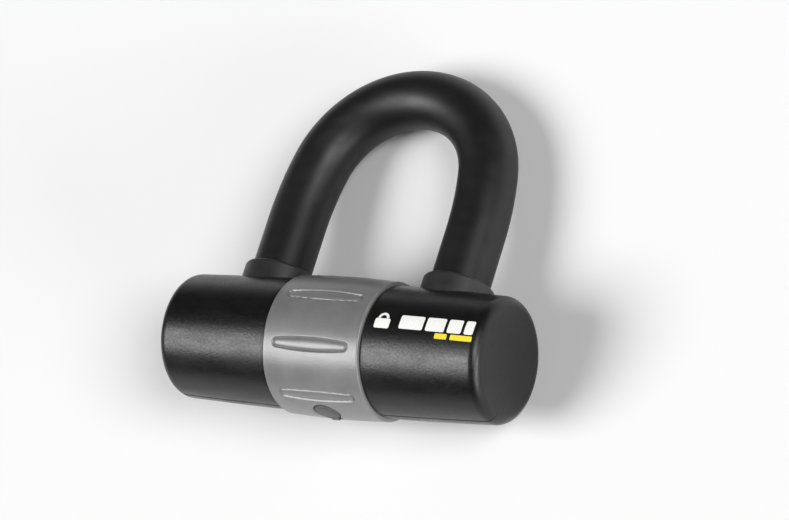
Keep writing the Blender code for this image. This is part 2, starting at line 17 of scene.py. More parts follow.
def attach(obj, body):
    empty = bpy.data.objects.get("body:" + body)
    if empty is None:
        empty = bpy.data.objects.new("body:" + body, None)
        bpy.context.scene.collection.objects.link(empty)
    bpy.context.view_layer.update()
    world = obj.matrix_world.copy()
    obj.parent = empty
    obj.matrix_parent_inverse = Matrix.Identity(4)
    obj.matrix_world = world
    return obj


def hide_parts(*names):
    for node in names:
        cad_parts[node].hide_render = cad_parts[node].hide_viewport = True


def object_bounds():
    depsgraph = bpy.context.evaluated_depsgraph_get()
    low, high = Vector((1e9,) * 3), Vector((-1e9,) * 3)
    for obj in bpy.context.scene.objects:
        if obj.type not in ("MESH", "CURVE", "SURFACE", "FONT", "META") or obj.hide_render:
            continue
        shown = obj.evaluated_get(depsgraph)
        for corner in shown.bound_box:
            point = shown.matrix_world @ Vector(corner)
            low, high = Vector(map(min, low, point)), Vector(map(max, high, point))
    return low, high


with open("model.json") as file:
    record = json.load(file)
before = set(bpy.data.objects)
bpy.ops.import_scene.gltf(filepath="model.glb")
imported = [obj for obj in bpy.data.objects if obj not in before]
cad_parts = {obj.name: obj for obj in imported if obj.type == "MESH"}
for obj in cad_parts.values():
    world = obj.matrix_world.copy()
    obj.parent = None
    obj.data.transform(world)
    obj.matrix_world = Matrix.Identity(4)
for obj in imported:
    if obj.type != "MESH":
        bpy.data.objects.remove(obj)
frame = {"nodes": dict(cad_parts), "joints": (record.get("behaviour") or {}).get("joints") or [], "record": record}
cad_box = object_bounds()

MM = 0.001
GAP = 0.3 * MM  # clearance between neighbouring pieces
SLIVER = 0.002 * MM  # points closer than this are merged after a cut
SIDES = (("left", -1), ("right", 1))
ROUND_SIDES = 120  # of the collars and of the holes for them

# ---------------------------------------------------------------- the lock's level frame


def level_frame():
    """Takes the level frame to the row frame: from the crossbar's slide and its two end faces."""
    slide = next(j for j in frame["joints"] if j["name"] == "crossbar_slide")
    ends = [Vector(mount["pos_m"]) for mount in frame["record"]["mounts"]]
    to_crown = -Vector(slide["axis"]).normalized()
    along = Vector((1, 0, 0))
    turn = Matrix((along, to_crown, along.cross(to_crown))).transposed()
    return Matrix.Translation((ends[0] + ends[1]) / 2) @ turn.to_4x4()


LAY = level_frame()
UNLAY = LAY.inverted()


def level_box(node):
    """A CAD node's lowest and highest corners in the level frame."""
    corners = np.array([UNLAY @ v.co for v in frame["nodes"][node].data.vertices])
    return Vector(corners.min(0)), Vector(corners.max(0))


collar_low, collar_high = level_box("collar_right")
jacket_low, jacket_high = level_box("jacket_right")
_, band_high = level_box("centre_band")
_, tube_high = level_box("crossbar_tube")
coat_low, coat_high = level_box("shackle_coat")
core_low, core_high = level_box("shackle_core")
_, sleeve_high = level_box("keyhole_sleeve")
cover_low, cover_high = level_box("keyhole_cover")
pin_low, pin_high = level_box("cover_hinge_pin")

LEG_X = (collar_low.x + collar_high.x) / 2
COLLAR_RADIUS = (collar_high.x - collar_low.x) / 2
COLLAR_TOP = collar_high.y
BAR_HALF = jacket_high.x
JACKET_START = jacket_low.x
BAND_HALF = band_high.x
BAND_RADIUS = band_high.z
TUBE_RADIUS = tube_high.z
COAT_RADIUS = coat_high.x - LEG_X
COAT_END = coat_low.y
LEG_RADIUS = core_high.x - LEG_X
LEG_TIP = core_low.y
COVER_RADIUS = cover_high.x
COVER_FACE = cover_low.y
HINGE_Y = (pin_low.y + pin_high.y) / 2
HINGE_Z = (pin_low.z + pin_high.z) / 2
HINGE_PIN_RADIUS = (pin_high.z - pin_low.z) / 2
SLEEVE_BACK = sleeve_high.y

# Shape details that the frame's boxes don't give
BAR_RADIUS = 18.0 * MM
BAR_END_RADIUS = 17.0 * MM
BAR_END_ROUND = 2.9 * MM
BAR_END_WALL = 3.5 * MM
JACKET_LIP = 0.25 * MM
RIM_ROUND = 0.45 * MM
PARTING_ANGLE = radians(-5)
PARTING_DEPTH = 0.22 * MM
PARTING_WIDTH = 0.45 * MM

BAND_EDGE_RADIUS = 18.8 * MM
BAND_EDGE_ROUND = 0.4 * MM
BAND_BEAD = 0.08 * MM  # a low bead along each of the band's edges
BAND_BEAD_WIDTH = 0.7 * MM
SLOT_COUNT = 8
SLOT_HALF_LENGTH = 12.15 * MM
SLOT_HALF_WIDTH = 2.2 * MM
SLOT_END_WIDTH = 1.55 * MM
SLOT_DEPTH = 0.45 * MM
GROOVE_SHARE = 0.30  # how far in a slot's groove is deepest, of the way to its middle line
RIB_SINK = 0.05 * MM
DISH_DEPTH = 0.18 * MM  # a shallow dish round the keyhole
DISH_WIDTH = 0.7 * MM

COLLAR_ROUND = (0.7 * MM, 0.8 * MM)
COLLAR_BORE = COAT_RADIUS + GAP
COLLAR_SEAT = 16.8 * MM
COLLAR_LOW = 10.0 * MM

LEG_STRAIGHT = 35.8 * MM
SHOULDER_RADIUS = 89.9 * MM
SHOULDER_ANGLE = radians(11.66)
LEG_TIP_BEVEL = 1.5 * MM
LEG_TIP_BLUNT = 0.25 * MM
COAT_EDGE = 0.3 * MM
CROWN_RADIUS = (LEG_X - SHOULDER_RADIUS * (1 - cos(SHOULDER_ANGLE))) / cos(SHOULDER_ANGLE)
CROWN_CENTRE = LEG_STRAIGHT + (SHOULDER_RADIUS - CROWN_RADIUS) * sin(SHOULDER_ANGLE)

NOTCH_X = (20.9 * MM, 25.2 * MM)
NOTCH_Y = (2.9 * MM, 9.7 * MM)

KEYHOLE_RADIUS = COVER_RADIUS + GAP
SLEEVE_WALL = 0.9 * MM
COVER_THICKNESS = 1.2 * MM
KNUCKLE_RADIUS = 0.9 * MM
ARM_HALF = 0.45 * MM
NECK_FRONT = COVER_FACE + 0.55 * MM
NECK_REACH = sqrt((HINGE_Y - NECK_FRONT) ** 2 + ARM_HALF ** 2)
KNUCKLE_HALF = 1.2 * MM
EAR_END = 2.2 * MM
EAR_ROUND_HINGE = 0.8 * MM
RUNNING = 0.15 * MM


# ---------------------------------------------------------------- materials


def node(tree, kind, settings=None, **sockets):
    """A shader node with its settings and its sockets, each given as a value or as another's output."""
    made = tree.nodes.new("ShaderNode" + kind)
    for name, value in (settings or {}).items():
        setattr(made, name, value)
    for name, value in sockets.items():
        socket = made.inputs[name.replace("_", " ")]
        if isinstance(value, bpy.types.NodeSocket):
            tree.links.new(value, socket)
        else:
            socket.default_value = value
    return made


def blank_material(name):
    """A material with only a Principled shader, and the object's own coordinates in metres."""
    material = bpy.data.materials.new(name)
    material.use_nodes = True
    tree = material.node_tree
    shader = tree.nodes["Principled BSDF"]
    return material, tree, shader, node(tree, "TexCoord").outputs["Object"]


def noise(tree, place, size, detail=2.0, rough=0.5, distortion=0.0):
    """Noise whose lumps are about the given size."""
    return node(tree, "TexNoise", Vector=place, Scale=1 / size, Detail=detail, Roughness=rough,
                Distortion=distortion).outputs["Fac"]


def spread(tree, value, low, high, of=(0.3, 0.7)):
    """The value brought from its usual range to another one."""
    return node(tree, "MapRange", Value=value, From_Min=of[0], From_Max=of[1], To_Min=low,
                To_Max=high).outputs["Result"]


def ramp(tree, value, stops):
    """A colour for the value, between (position, colour) stops."""
    made = node(tree, "ValToRGB", Fac=value)
    elements = made.color_ramp.elements
    for i, (position, colour) in enumerate(stops):
        element = elements[i] if i < 2 else elements.new(position)
        element.position = position
        element.color = (*colour, 1)
    return made.outputs["Color"]


def total(tree, first, second):
    """The sum of two values."""
    made = node(tree, "Math", {"operation": "ADD"})
    tree.links.new(first, made.inputs[0])
    tree.links.new(second, made.inputs[1])
    return made.outputs[0]


def grey(value, warmth=0.0):
    return (value * (1 + warmth), value, value * (1 - warmth))


def bump(tree, height, distance, strength=1.0, normal=None):
    made = node(tree, "Bump", Height=height, Distance=distance, Strength=strength)
    if normal is not None:
        tree.links.new(normal, made.inputs["Normal"])
    return made.outputs["Normal"]


def moulded(name, tones, gloss, grain, grain_height, specular=0.5, swell=0.0, speckle=0.0):
    """Moulded plastic or rubber: a fine grain, a slow mottle, and faint handling marks in its gloss.

    The swell is the height of its slow waves. The speckle is the size of the duller and brighter spots
    that a spark-eroded mould leaves.
    """
    mottle, marks = 6 * MM, 9 * MM
    pebble = 2.2 * grain
    fine_share = 0.35
    material, tree, shader, place = blank_material(name)
    slow = noise(tree, place, mottle, detail=4)
    fine = noise(tree, place, grain, detail=3, rough=0.6)
    pebbles = node(tree, "TexVoronoi", Vector=place, Scale=1 / pebble).outputs["Distance"]
    blend = node(tree, "Math", {"operation": "MULTIPLY_ADD"})
    tree.links.new(fine, blend.inputs[0])
    blend.inputs[1].default_value = fine_share
    tree.links.new(slow, blend.inputs[2])
    dark, light = tones
    colour = ramp(tree, blend.outputs[0], ((0.5, dark), (0.85, light)))
    tree.links.new(colour, shader.inputs["Base Color"])
    rubbed = node(tree, "Mapping", Vector=place, Scale=(1, 3, 3)).outputs["Vector"]
    dull = noise(tree, rubbed, marks, detail=6)
    dull_range = (0.3, 0.7)
    if speckle:
        dull = total(tree, dull, noise(tree, place, speckle, rough=0.6))
        dull_range = (0.6, 1.4)
    tree.links.new(spread(tree, dull, *gloss, of=dull_range), shader.inputs["Roughness"])
    shader.inputs["Specular IOR Level"].default_value = specular
    normal = bump(tree, fine, grain_height)
    normal = bump(tree, pebbles, grain_height, 0.5, normal)
    if swell:
        normal = bump(tree, slow, swell, 1.0, normal)
    tree.links.new(normal, shader.inputs["Normal"])
    return material


def cad_to_level(tree, place):
    """A CAD node's coordinates brought to the level frame."""
    turn = UNLAY.to_3x3().to_euler()
    moved = node(tree, "Mapping", Vector=place, Location=UNLAY.translation, Rotation=turn)
    return moved.outputs["Vector"]


def turned_metal(name, colours, gloss, axis, centre=(0, 0, 0), is_cad=True, depth=0.006 * MM):
    """Metal turned or ground about an axis: fine rings, a slow tarnish and a few scratches."""
    ring, tarnish, scratch = 0.16 * MM, 2.5 * MM, 1.5 * MM
    material, tree, shader, place = blank_material(name)
    if is_cad:
        place = cad_to_level(tree, place)
    centred = node(tree, "VectorMath", {"operation": "SUBTRACT"})
    tree.links.new(place, centred.inputs[0])
    centred.inputs[1].default_value = centre
    local = centred.outputs["Vector"]
    split = node(tree, "SeparateXYZ", Vector=local)
    parts = [split.outputs[i] for i in range(3)]
    along = parts.pop("XYZ".index(axis))
    flat = node(tree, "CombineXYZ", X=parts[0], Y=parts[1]).outputs["Vector"]
    radius = node(tree, "VectorMath", {"operation": "LENGTH"}, Vector=flat).outputs["Value"]
    rings = node(tree, "CombineXYZ", X=along, Y=radius).outputs["Vector"]
    lines = noise(tree, rings, ring, detail=4, rough=0.65)
    slow = noise(tree, local, tarnish, detail=5)
    colour = ramp(tree, slow, ((0.3, colours[0]), (0.7, colours[1])))
    tree.links.new(colour, shader.inputs["Base Color"])
    shader.inputs["Metallic"].default_value = 1.0
    dull = total(tree, lines, slow)
    tree.links.new(spread(tree, dull, *gloss, of=(0.7, 1.3)), shader.inputs["Roughness"])
    stretched = node(tree, "Mapping", Vector=local, Scale=(1, 7, 2), Rotation=(0.4, 0.9, 0.2))
    scratches = noise(tree, stretched.outputs["Vector"], scratch, detail=6, rough=0.7)
    normal = bump(tree, lines, depth)
    normal = bump(tree, scratches, depth, 0.6, normal)
    tree.links.new(normal, shader.inputs["Normal"])
    return material


def cast_metal(name):
    """Bare die casting: a dull, slightly pitted skin with flow marks."""
    flow_size, pit_size = 3 * MM, 0.45 * MM
    material, tree, shader, place = blank_material(name)
    stretched = node(tree, "Mapping", Vector=place, Scale=(1, 1, 3)).outputs["Vector"]
    flow = noise(tree, stretched, flow_size, detail=5, rough=0.6, distortion=0.4)
    pits = node(tree, "TexVoronoi", Vector=place, Scale=1 / pit_size).outputs["Distance"]
    colour = ramp(tree, flow, ((0.3, grey(0.36, 0.02)), (0.7, grey(0.52, 0.02))))
    tree.links.new(colour, shader.inputs["Base Color"])
    shader.inputs["Metallic"].default_value = 1.0
    tree.links.new(spread(tree, flow, 0.42, 0.62), shader.inputs["Roughness"])
    normal = bump(tree, pits, 0.02 * MM, 0.7)
    tree.links.new(bump(tree, flow, 0.06 * MM, 1.0, normal), shader.inputs["Normal"])
    return material


def ink(name, colour):
    """Printed ink: a nearly flat colour, with a slightly uneven gloss."""
    material, tree, shader, place = blank_material(name)
    fine = noise(tree, place, 0.25 * MM, detail=4)
    thin = tuple(0.82 * c for c in colour)
    tree.links.new(ramp(tree, fine, ((0.3, thin), (0.6, colour))), shader.inputs["Base Color"])
    tree.links.new(spread(tree, fine, 0.35, 0.55), shader.inputs["Roughness"])
    tree.links.new(bump(tree, fine, 0.01 * MM), shader.inputs["Normal"])
    return material


STEEL = (grey(0.42, -0.01), grey(0.56, -0.01))
DARK_STEEL = (grey(0.22), grey(0.34))
GROUND_STEEL = (grey(0.27, -0.01), grey(0.34, -0.01))
BRASS = ((0.52, 0.36, 0.15), (0.70, 0.51, 0.24))

LOOKS = {
    "jacket": moulded("jacket_black", (grey(0.0025), grey(0.0045)), (0.25, 0.46), 0.40 * MM, 0.026 * MM,
                      specular=0.42, speckle=0.65 * MM),
    "coat": moulded("coat_black", (grey(0.0030), grey(0.0050)), (0.42, 0.50), 0.22 * MM, 0.008 * MM,
                    specular=0.46, swell=0.02 * MM),
    "collar": moulded("collar_black", (grey(0.0050), grey(0.0080)), (0.44, 0.56), 0.30 * MM, 0.03 * MM,
                      specular=0.80),
    "band": moulded("band_grey", ((0.142, 0.139, 0.141), (0.170, 0.167, 0.169)), (0.31, 0.38), 0.36 * MM,
                    0.020 * MM, specular=0.75),
    "trim": moulded("trim_grey", (grey(0.050), grey(0.065)), (0.42, 0.52), 0.25 * MM, 0.010 * MM),
    "white_ink": ink("white_ink", (0.86, 0.86, 0.83)),
    "yellow_ink": ink("yellow_ink", (0.80, 0.66, 0.03)),
    "zinc": cast_metal("cast_zinc"),
    "core": turned_metal("shackle_steel", GROUND_STEEL, (0.38, 0.47), "Y", is_cad=False, depth=0.003 * MM),
}


# ---------------------------------------------------------------- modelling helpers


def mesh_piece(name, verts, faces, turn=None, smooth=38):
    """An object in the level frame from vertices and faces, its faces turned outwards.

    Edges that bend by more than the smooth angle, in degrees, will be sharp.
    """
    mesh = bpy.data.meshes.new(name)
    mesh.from_pydata([tuple(v) for v in verts], [], faces)
    bm = bmesh.new()
    bm.from_mesh(mesh)
    bmesh.ops.remove_doubles(bm, verts=bm.verts, dist=1e-7)
    bmesh.ops.recalc_face_normals(bm, faces=bm.faces)
    if turn is not None:
        bm.transform(turn)
    bm.to_mesh(mesh)
    bm.free()
    obj = bpy.data.objects.new(name, mesh)
    obj["smooth"] = smooth
    bpy.context.scene.collection.objects.link(obj)
    return obj


def rings_mesh(rings, closed_along, capped=False):
    """Vertices and faces of a surface through rings that have the same number of points."""
    rings = [np.asarray(r, float) for r in rings]
    n = len(rings[0])
    verts = np.concatenate(rings)
    count = len(rings)
    faces = []
    for i in range(count if closed_along else count - 1):
        a, b = i * n, ((i + 1) % count) * n
        for j in range(n):
            k = (j + 1) % n
            faces.append((a + j, a + k, b + k, b + j))
    if capped:
        faces.append(tuple(range(n)))
        faces.append(tuple(range((count - 1) * n, count * n)))
    return verts, faces


def turned(name, outline, sides, turn, closed=True):
    """A solid turned about Z from (radius, height) points, then turned to its own axis.

    A closed outline makes a ring. An open one is capped at both ends.
    """
    angles = np.arange(sides) * 2 * pi / sides
    ring = np.stack([np.cos(angles), np.sin(angles)], 1)
    rings = [np.column_stack([radius * ring, np.full(sides, height)]) for radius, height in outline]
    return mesh_piece(name, *rings_mesh(rings, closed, capped=not closed), turn=turn)


def direction_turn(direction, place=(0, 0, 0)):
    """The turn that takes +Z to the direction, and the origin to the place."""
    turn = Vector((0, 0, 1)).rotation_difference(Vector(direction)).to_matrix().to_4x4()
    return Matrix.Translation(place) @ turn


def arc(centre, radius, start, end, steps):
    """Points along an arc, both ends included. The radius may be a pair, for an ellipse."""
    across, up = radius if isinstance(radius, tuple) else (radius, radius)
    angles = [start + (end - start) * i / steps for i in range(steps + 1)]
    return [(centre[0] + across * cos(a), centre[1] + up * sin(a)) for a in angles]


def block(name, low, high):
    xs, ys, zs = zip(low, high)
    verts = [(x, y, z) for x in xs for y in ys for z in zs]
    faces = [(0, 1, 3, 2), (4, 6, 7, 5), (0, 4, 5, 1), (2, 3, 7, 6), (0, 2, 6, 4), (1, 5, 7, 3)]
    return mesh_piece(name, verts, faces)


def bake(obj):
    """The object's mesh as its modifiers leave it, without the slivers that cutting makes."""
    graph = bpy.context.evaluated_depsgraph_get()
    made = bpy.data.meshes.new_from_object(obj.evaluated_get(graph))
    obj.modifiers.clear()
    bm = bmesh.new()
    bm.from_mesh(made)
    bmesh.ops.triangulate(bm, faces=[f for f in bm.faces if len(f.verts) > 4])
    bmesh.ops.remove_doubles(bm, verts=bm.verts, dist=SLIVER)
    bmesh.ops.dissolve_degenerate(bm, edges=bm.edges, dist=SLIVER)
    bm.to_mesh(made)
    bm.free()
    obj.data = made


def carve(obj, *cutters, operation="DIFFERENCE"):
    """Cuts the object with other solids, or joins them to it, and removes them."""
    for cutter in cutters:
        modifier = obj.modifiers.new(cutter.name, "BOOLEAN")
        modifier.operation = operation
        modifier.solver = "EXACT"
        modifier.object = cutter
    bake(obj)
    for cutter in cutters:
        bpy.data.objects.remove(cutter, do_unlink=True)


def place_piece(obj, look, body, slot, *replaced):
    """Lays the piece down, gives it its material, and hangs it on its body."""
    mesh = obj.data
    mesh.shade_smooth()
    mesh.set_sharp_from_angle(angle=radians(obj["smooth"]))
    mesh.materials.clear()
    mesh.materials.append(LOOKS[look])
    obj.matrix_world = LAY
    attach(obj, body)
    if replaced:
        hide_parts(*replaced)


def smoothstep(value):
    value = np.clip(value, 0, 1)
    return value * value * (3 - 2 * value)


# ---------------------------------------------------------------- shackle


def shackle_route(start, step):
    """(point, direction) pairs along the shackle's centreline from the left leg to the right one."""
    right = []
    count = ceil((LEG_STRAIGHT - start) / step)
    for i in range(count):
        right.append((LEG_X, start + (LEG_STRAIGHT - start) * i / count, 0.0))
    count = ceil(SHOULDER_RADIUS * SHOULDER_ANGLE / step)
    for i in range(count):
        a = SHOULDER_ANGLE * i / count
        right.append((LEG_X - SHOULDER_RADIUS * (1 - cos(a)), LEG_STRAIGHT + SHOULDER_RADIUS * sin(a), a))
    count = ceil(CROWN_RADIUS * (pi / 2 - SHOULDER_ANGLE) / step)
    for i in range(count + 1):
        a = SHOULDER_ANGLE + (pi / 2 - SHOULDER_ANGLE) * i / count
        right.append((CROWN_RADIUS * cos(a), CROWN_CENTRE + CROWN_RADIUS * sin(a), a))
    left = [(-x, y, pi - a) for x, y, a in right[:-1]]
    return left + right[::-1]


def swept_rings(route, radius, sides):
    """Rings round the route. Each point of it carries the angle of its outward direction in XY."""
    angles = np.arange(sides) * 2 * pi / sides
    rings = []
    for x, y, a in route:
        out, up = np.cos(angles), np.sin(angles)
        rings.append(np.column_stack([x + radius * out * cos(a), y + radius * out * sin(a), radius * up]))
    return rings


def moved_along(point, distance):
    """A point of the route moved along the legs, for the ends, which are straight."""
    return (point[0], point[1] + distance, point[2])


def end_rings(point, profile, sides):
    """Rings at one end of the route, from (radius, distance up the leg) pairs."""
    return [swept_rings([moved_along(point, up)], radius, sides)[0] for radius, up in profile]


def make_coat():
    """The vinyl coat: a tube round the bar, its ends rounded where they go into the collars."""
    route = shackle_route(COAT_END, 1.2 * MM)
    sides = 72
    rounding = [(COAT_RADIUS - COAT_EDGE * (1 - cos(a)), COAT_EDGE * (1 - sin(a)))
                for a in np.linspace(pi / 2, 0, 4)]
    starts = end_rings(route[0], rounding, sides)
    outer = swept_rings(route[1:-1], COAT_RADIUS, sides)
    ends = end_rings(route[-1], rounding[::-1], sides)
    bore = swept_rings(route[::-1], LEG_RADIUS + GAP, sides)
    coat = mesh_piece("shackle_coating", *rings_mesh(starts + outer + ends + bore, True))
    place_piece(coat, "coat", "shackle", "shackle_coat", "shackle_coat")


def make_core():
    """The hardened bar: chamfered tips, and a milled notch in each leg for its bolt."""
    route = shackle_route(LEG_TIP, 1.6 * MM)
    sides = 64
    profile = [(LEG_RADIUS - LEG_TIP_BEVEL - LEG_TIP_BLUNT, 0),
               (LEG_RADIUS - LEG_TIP_BEVEL, 0.06 * MM),
               (LEG_RADIUS - 0.1 * MM, LEG_TIP_BEVEL - 0.15 * MM),
               (LEG_RADIUS, LEG_TIP_BEVEL + LEG_TIP_BLUNT)]
    starts = end_rings(route[0], profile, sides)
    ends = end_rings(route[-1], profile[::-1], sides)
    inside = [p for p in route if p[1] > LEG_TIP + 2 * LEG_TIP_BEVEL]
    rings = starts + swept_rings(inside, LEG_RADIUS, sides) + ends
    core = mesh_piece("shackle_bar", *rings_mesh(rings, False, True))
    deep = 2 * LEG_RADIUS
    cutters = []
    for side, sign in SIDES:
        low_x, high_x = sorted((sign * NOTCH_X[0], sign * NOTCH_X[1]))
        cutters.append(block("notch_" + side, (low_x, NOTCH_Y[0], -deep), (high_x, NOTCH_Y[1], deep)))
    carve(core, *cutters)
    place_piece(core, "core", "shackle", "hard_steel", "shackle_core")


# ---------------------------------------------------------------- crossbar shell


def jacket_radius(x):
    """The jackets swell from their ends to the middle along a parabola."""
    return BAR_RADIUS - (BAR_RADIUS - BAR_END_RADIUS) * (x / BAR_HALF) ** 2


def surface_height(x, z):
    """Y of the jacket's surface on the crown's side, at a distance x along the bar."""
    return sqrt(max(jacket_radius(abs(x)) ** 2 - z * z, 0.0))


def bar_ring(x, radius, angles):
    """Points round the crossbar at a distance x along it."""
    return np.column_stack([np.full(len(angles), x), -radius * np.cos(angles), radius * np.sin(angles)])


def rim_cutter(name, sign, radius):
    """Rounds the edge where a hole for a collar meets the barrel-shaped jacket."""
    inside = radius - 0.8 * MM
    outside = radius + RIM_ROUND + 0.6 * MM
    profile = [(inside, -2 * MM)]
    profile += [(radius + RIM_ROUND * (1 - cos(a)), RIM_ROUND * (sin(a) - 1))
                for a in np.linspace(0, pi / 2, 5)]
    profile += [(outside, 0.02 * MM), (outside, 3 * MM)]
    rings = []
    for from_axis, rise in profile:
        ring = []
        for j in range(ROUND_SIDES):
            a = 2 * pi * j / ROUND_SIDES
            x, z = sign * LEG_X + from_axis * cos(a), from_axis * sin(a)
            ring.append((x, surface_height(x, z) + rise, z))
        rings.append(ring)
    return mesh_piece(name, *rings_mesh(rings, False, True))


def make_jacket(side, sign):
    """A moulded cup over the tube's end: a rounded end, a hole for the collar and a parting line."""
    round_start = BAR_HALF - BAR_END_ROUND
    inside_end = BAR_HALF - BAR_END_WALL
    bore = TUBE_RADIUS + GAP
    lip = (jacket_radius(JACKET_START) - JACKET_LIP, JACKET_START + JACKET_LIP)
    flat_radius = jacket_radius(round_start) - BAR_END_ROUND
    outline = [(0.4 * MM, inside_end), (bore, inside_end), (bore, JACKET_START)]
    outline += arc(lip, JACKET_LIP, -pi / 2, 0, 3)[:-1]
    outline += [(jacket_radius(x), x) for x in np.linspace(JACKET_START + JACKET_LIP, round_start, 22)]
    outline += arc((flat_radius, round_start), BAR_END_ROUND, 0, pi / 2, 14)[1:]
    outline += [(flat_radius * share, BAR_HALF) for share in (0.97, 0.75, 0.45, 0.12)]
    near = 2 * PARTING_WIDTH / BAR_RADIUS
    seam = np.linspace(-near, near, 17)
    angles = np.concatenate([seam, np.linspace(near, 2 * pi - near, 180)[1:-1]]) + PARTING_ANGLE
    rings = [bar_ring(sign * x, radius - parting_dip(angles, radius, x), angles) for radius, x in outline]
    jacket = mesh_piece("jacket_shell_" + side, *rings_mesh(rings, False, True))
    hole_radius = COLLAR_RADIUS + GAP
    hole = turned("collar_hole_" + side, [(hole_radius, 0), (hole_radius, 2 * BAR_RADIUS)], ROUND_SIDES,
                  direction_turn((0, 1, 0), (sign * LEG_X, 0, 0)), closed=False)
    carve(jacket, hole, rim_cutter("collar_rim_" + side, sign, hole_radius))
    place_piece(jacket, "jacket", "crossbar", "jacket", "jacket_" + side)


def parting_dip(angles, radius, x):
    """How far the mould's parting line lies below the surface, at angles round the bar."""
    if radius < BAR_END_RADIUS - BAR_END_ROUND or x < JACKET_START:
        return np.zeros_like(angles)
    apart = np.abs((angles - PARTING_ANGLE + pi) % (2 * pi) - pi) * radius
    return PARTING_DEPTH * (1 - smoothstep(apart / PARTING_WIDTH))


def make_collar(side, sign):
    """The seal round a leg: a rounded top, a soft lip in its bore, and a saddle that sits on the tube."""
    top = (COLLAR_RADIUS - COLLAR_ROUND[0], COLLAR_TOP - COLLAR_ROUND[1])
    lip = 0.15 * MM
    outline = [(LEG_RADIUS + GAP, COLLAR_LOW), (COLLAR_RADIUS, COLLAR_LOW)]
    outline += arc(top, COLLAR_ROUND, 0, pi / 2, 10)
    outline += arc((COLLAR_BORE + lip, COLLAR_TOP - lip), lip, pi / 2, pi, 3)
    outline += [(COLLAR_BORE, COLLAR_SEAT), (LEG_RADIUS + GAP, COLLAR_SEAT)]
    turn = direction_turn((0, 1, 0), (sign * LEG_X, 0, 0))
    collar = turned("leg_collar_" + side, outline, ROUND_SIDES, turn)
    seat_radius = TUBE_RADIUS + GAP
    seat = turned("collar_seat_" + side, [(seat_radius, -BAR_HALF), (seat_radius, BAR_HALF)], 144,
                  direction_turn((1, 0, 0)), closed=False)
    carve(collar, seat)
    place_piece(collar, "collar", "crossbar", "collar", "collar_" + side)


# ---------------------------------------------------------------- grip band


def slot_relief(x, v):
    """Height of the band's surface in one slot: a soft groove all round it, and a broad domed rib."""
    ends = SLOT_HALF_LENGTH - SLOT_END_WIDTH
    half_width = SLOT_HALF_WIDTH - (SLOT_HALF_WIDTH - SLOT_END_WIDTH) * np.minimum(np.abs(x) / ends, 1) ** 2
    past = np.maximum(np.abs(x) - ends, 0)
    share = 1 - np.hypot(past, v) / half_width
    wall = smoothstep(share / GROOVE_SHARE)
    rib = np.clip((share - GROOVE_SHARE) / (1 - GROOVE_SHARE), 0, 1)
    dome = np.sqrt(1 - (1 - rib) ** 2)
    return (SLOT_DEPTH - RIB_SINK) * dome - SLOT_DEPTH * wall


def band_radius(x):
    """The crowned band, with a low bead along its edges, which are rounded."""
    edge = BAND_HALF - BAND_EDGE_ROUND
    crown = BAND_RADIUS - (BAND_RADIUS - BAND_EDGE_RADIUS) * np.minimum(np.abs(x) / edge, 1) ** 2
    bead = BAND_BEAD * smoothstep((np.abs(x) - edge + BAND_BEAD_WIDTH) / BAND_BEAD_WIDTH)
    past = np.clip((np.abs(x) - edge) / BAND_EDGE_ROUND, 0, 1)
    return crown + bead - BAND_EDGE_ROUND * (1 - np.sqrt(1 - past ** 2))


def dense_steps(low, high, spacing):
    return np.linspace(low, high, max(2, ceil((high - low) / spacing) + 1))


def band_grid():
    """Positions along X, and angles, closer together where the slots and the edges are."""
    fine = 0.13 * MM
    slot_end, past_slot = 9.5 * MM, 12.8 * MM
    edge = BAND_HALF - BAND_EDGE_ROUND
    half = np.concatenate([
        dense_steps(0, slot_end, 0.5 * MM)[:-1],
        dense_steps(slot_end, past_slot, fine)[:-1],
        dense_steps(past_slot, edge, 0.2 * MM)[:-1],
        edge + BAND_EDGE_ROUND * np.sin(np.linspace(0, pi / 2, 8))])
    xs = np.concatenate([-half[:0:-1], half])
    pitch = 2 * pi / SLOT_COUNT
    near = 2.6 * MM / BAND_RADIUS
    slot = dense_steps(-near, near, fine / BAND_RADIUS)
    between = dense_steps(near, pitch - near, 0.42 * MM / BAND_RADIUS)[1:-1]
    angles = np.concatenate([np.concatenate([slot, between]) + pitch * (i + 0.5) for i in range(SLOT_COUNT)])
    return xs, angles


def keyhole_dish(x, z):
    """How far the band dips towards the keyhole's rim."""
    return DISH_DEPTH * (1 - smoothstep((np.hypot(x, z) - KEYHOLE_RADIUS) / DISH_WIDTH))


def make_band():
    """The soft grip: eight long slots with a rib in each, and a hole for the key between two of them."""
    xs, angles = band_grid()
    pitch = 2 * pi / SLOT_COUNT
    nearest = (angles / pitch) % 1 * pitch - pitch / 2
    facing_key = np.cos(angles) > 0
    rings = []
    for x in xs:
        radius = float(band_radius(x)) + slot_relief(np.full_like(angles, x), nearest * BAND_RADIUS)
        radius -= np.where(facing_key, keyhole_dish(x, radius * np.sin(angles)), 0)
        rings.append(bar_ring(x, radius, angles))
    for x in (BAND_HALF, -BAND_HALF):
        rings.append(bar_ring(x, TUBE_RADIUS + GAP, angles))
    band = mesh_piece("grip_band", *rings_mesh(rings, True), smooth=50)
    hole = turned("key_hole", [(KEYHOLE_RADIUS, TUBE_RADIUS / 2), (KEYHOLE_RADIUS, 2 * BAR_RADIUS)], 96,
                  direction_turn((0, -1, 0)), closed=False)
    side = EAR_END + GAP
    pocket = block("hinge_pocket", (-side, -2 * BAR_RADIUS, HINGE_Z - NECK_REACH - GAP),
                   (side, HINGE_Y + KNUCKLE_RADIUS + 2 * GAP, -KEYHOLE_RADIUS / 2))
    carve(band, hole, pocket)
    place_piece(band, "band", "crossbar", "band", "centre_band")


# ---------------------------------------------------------------- keyhole


def hinge_rod(name, radius, half):
    """A rod along the cover's hinge."""
    return turned(name, [(radius, -half), (radius, half)], 32,
                  direction_turn((1, 0, 0), (0, HINGE_Y, HINGE_Z)), closed=False)


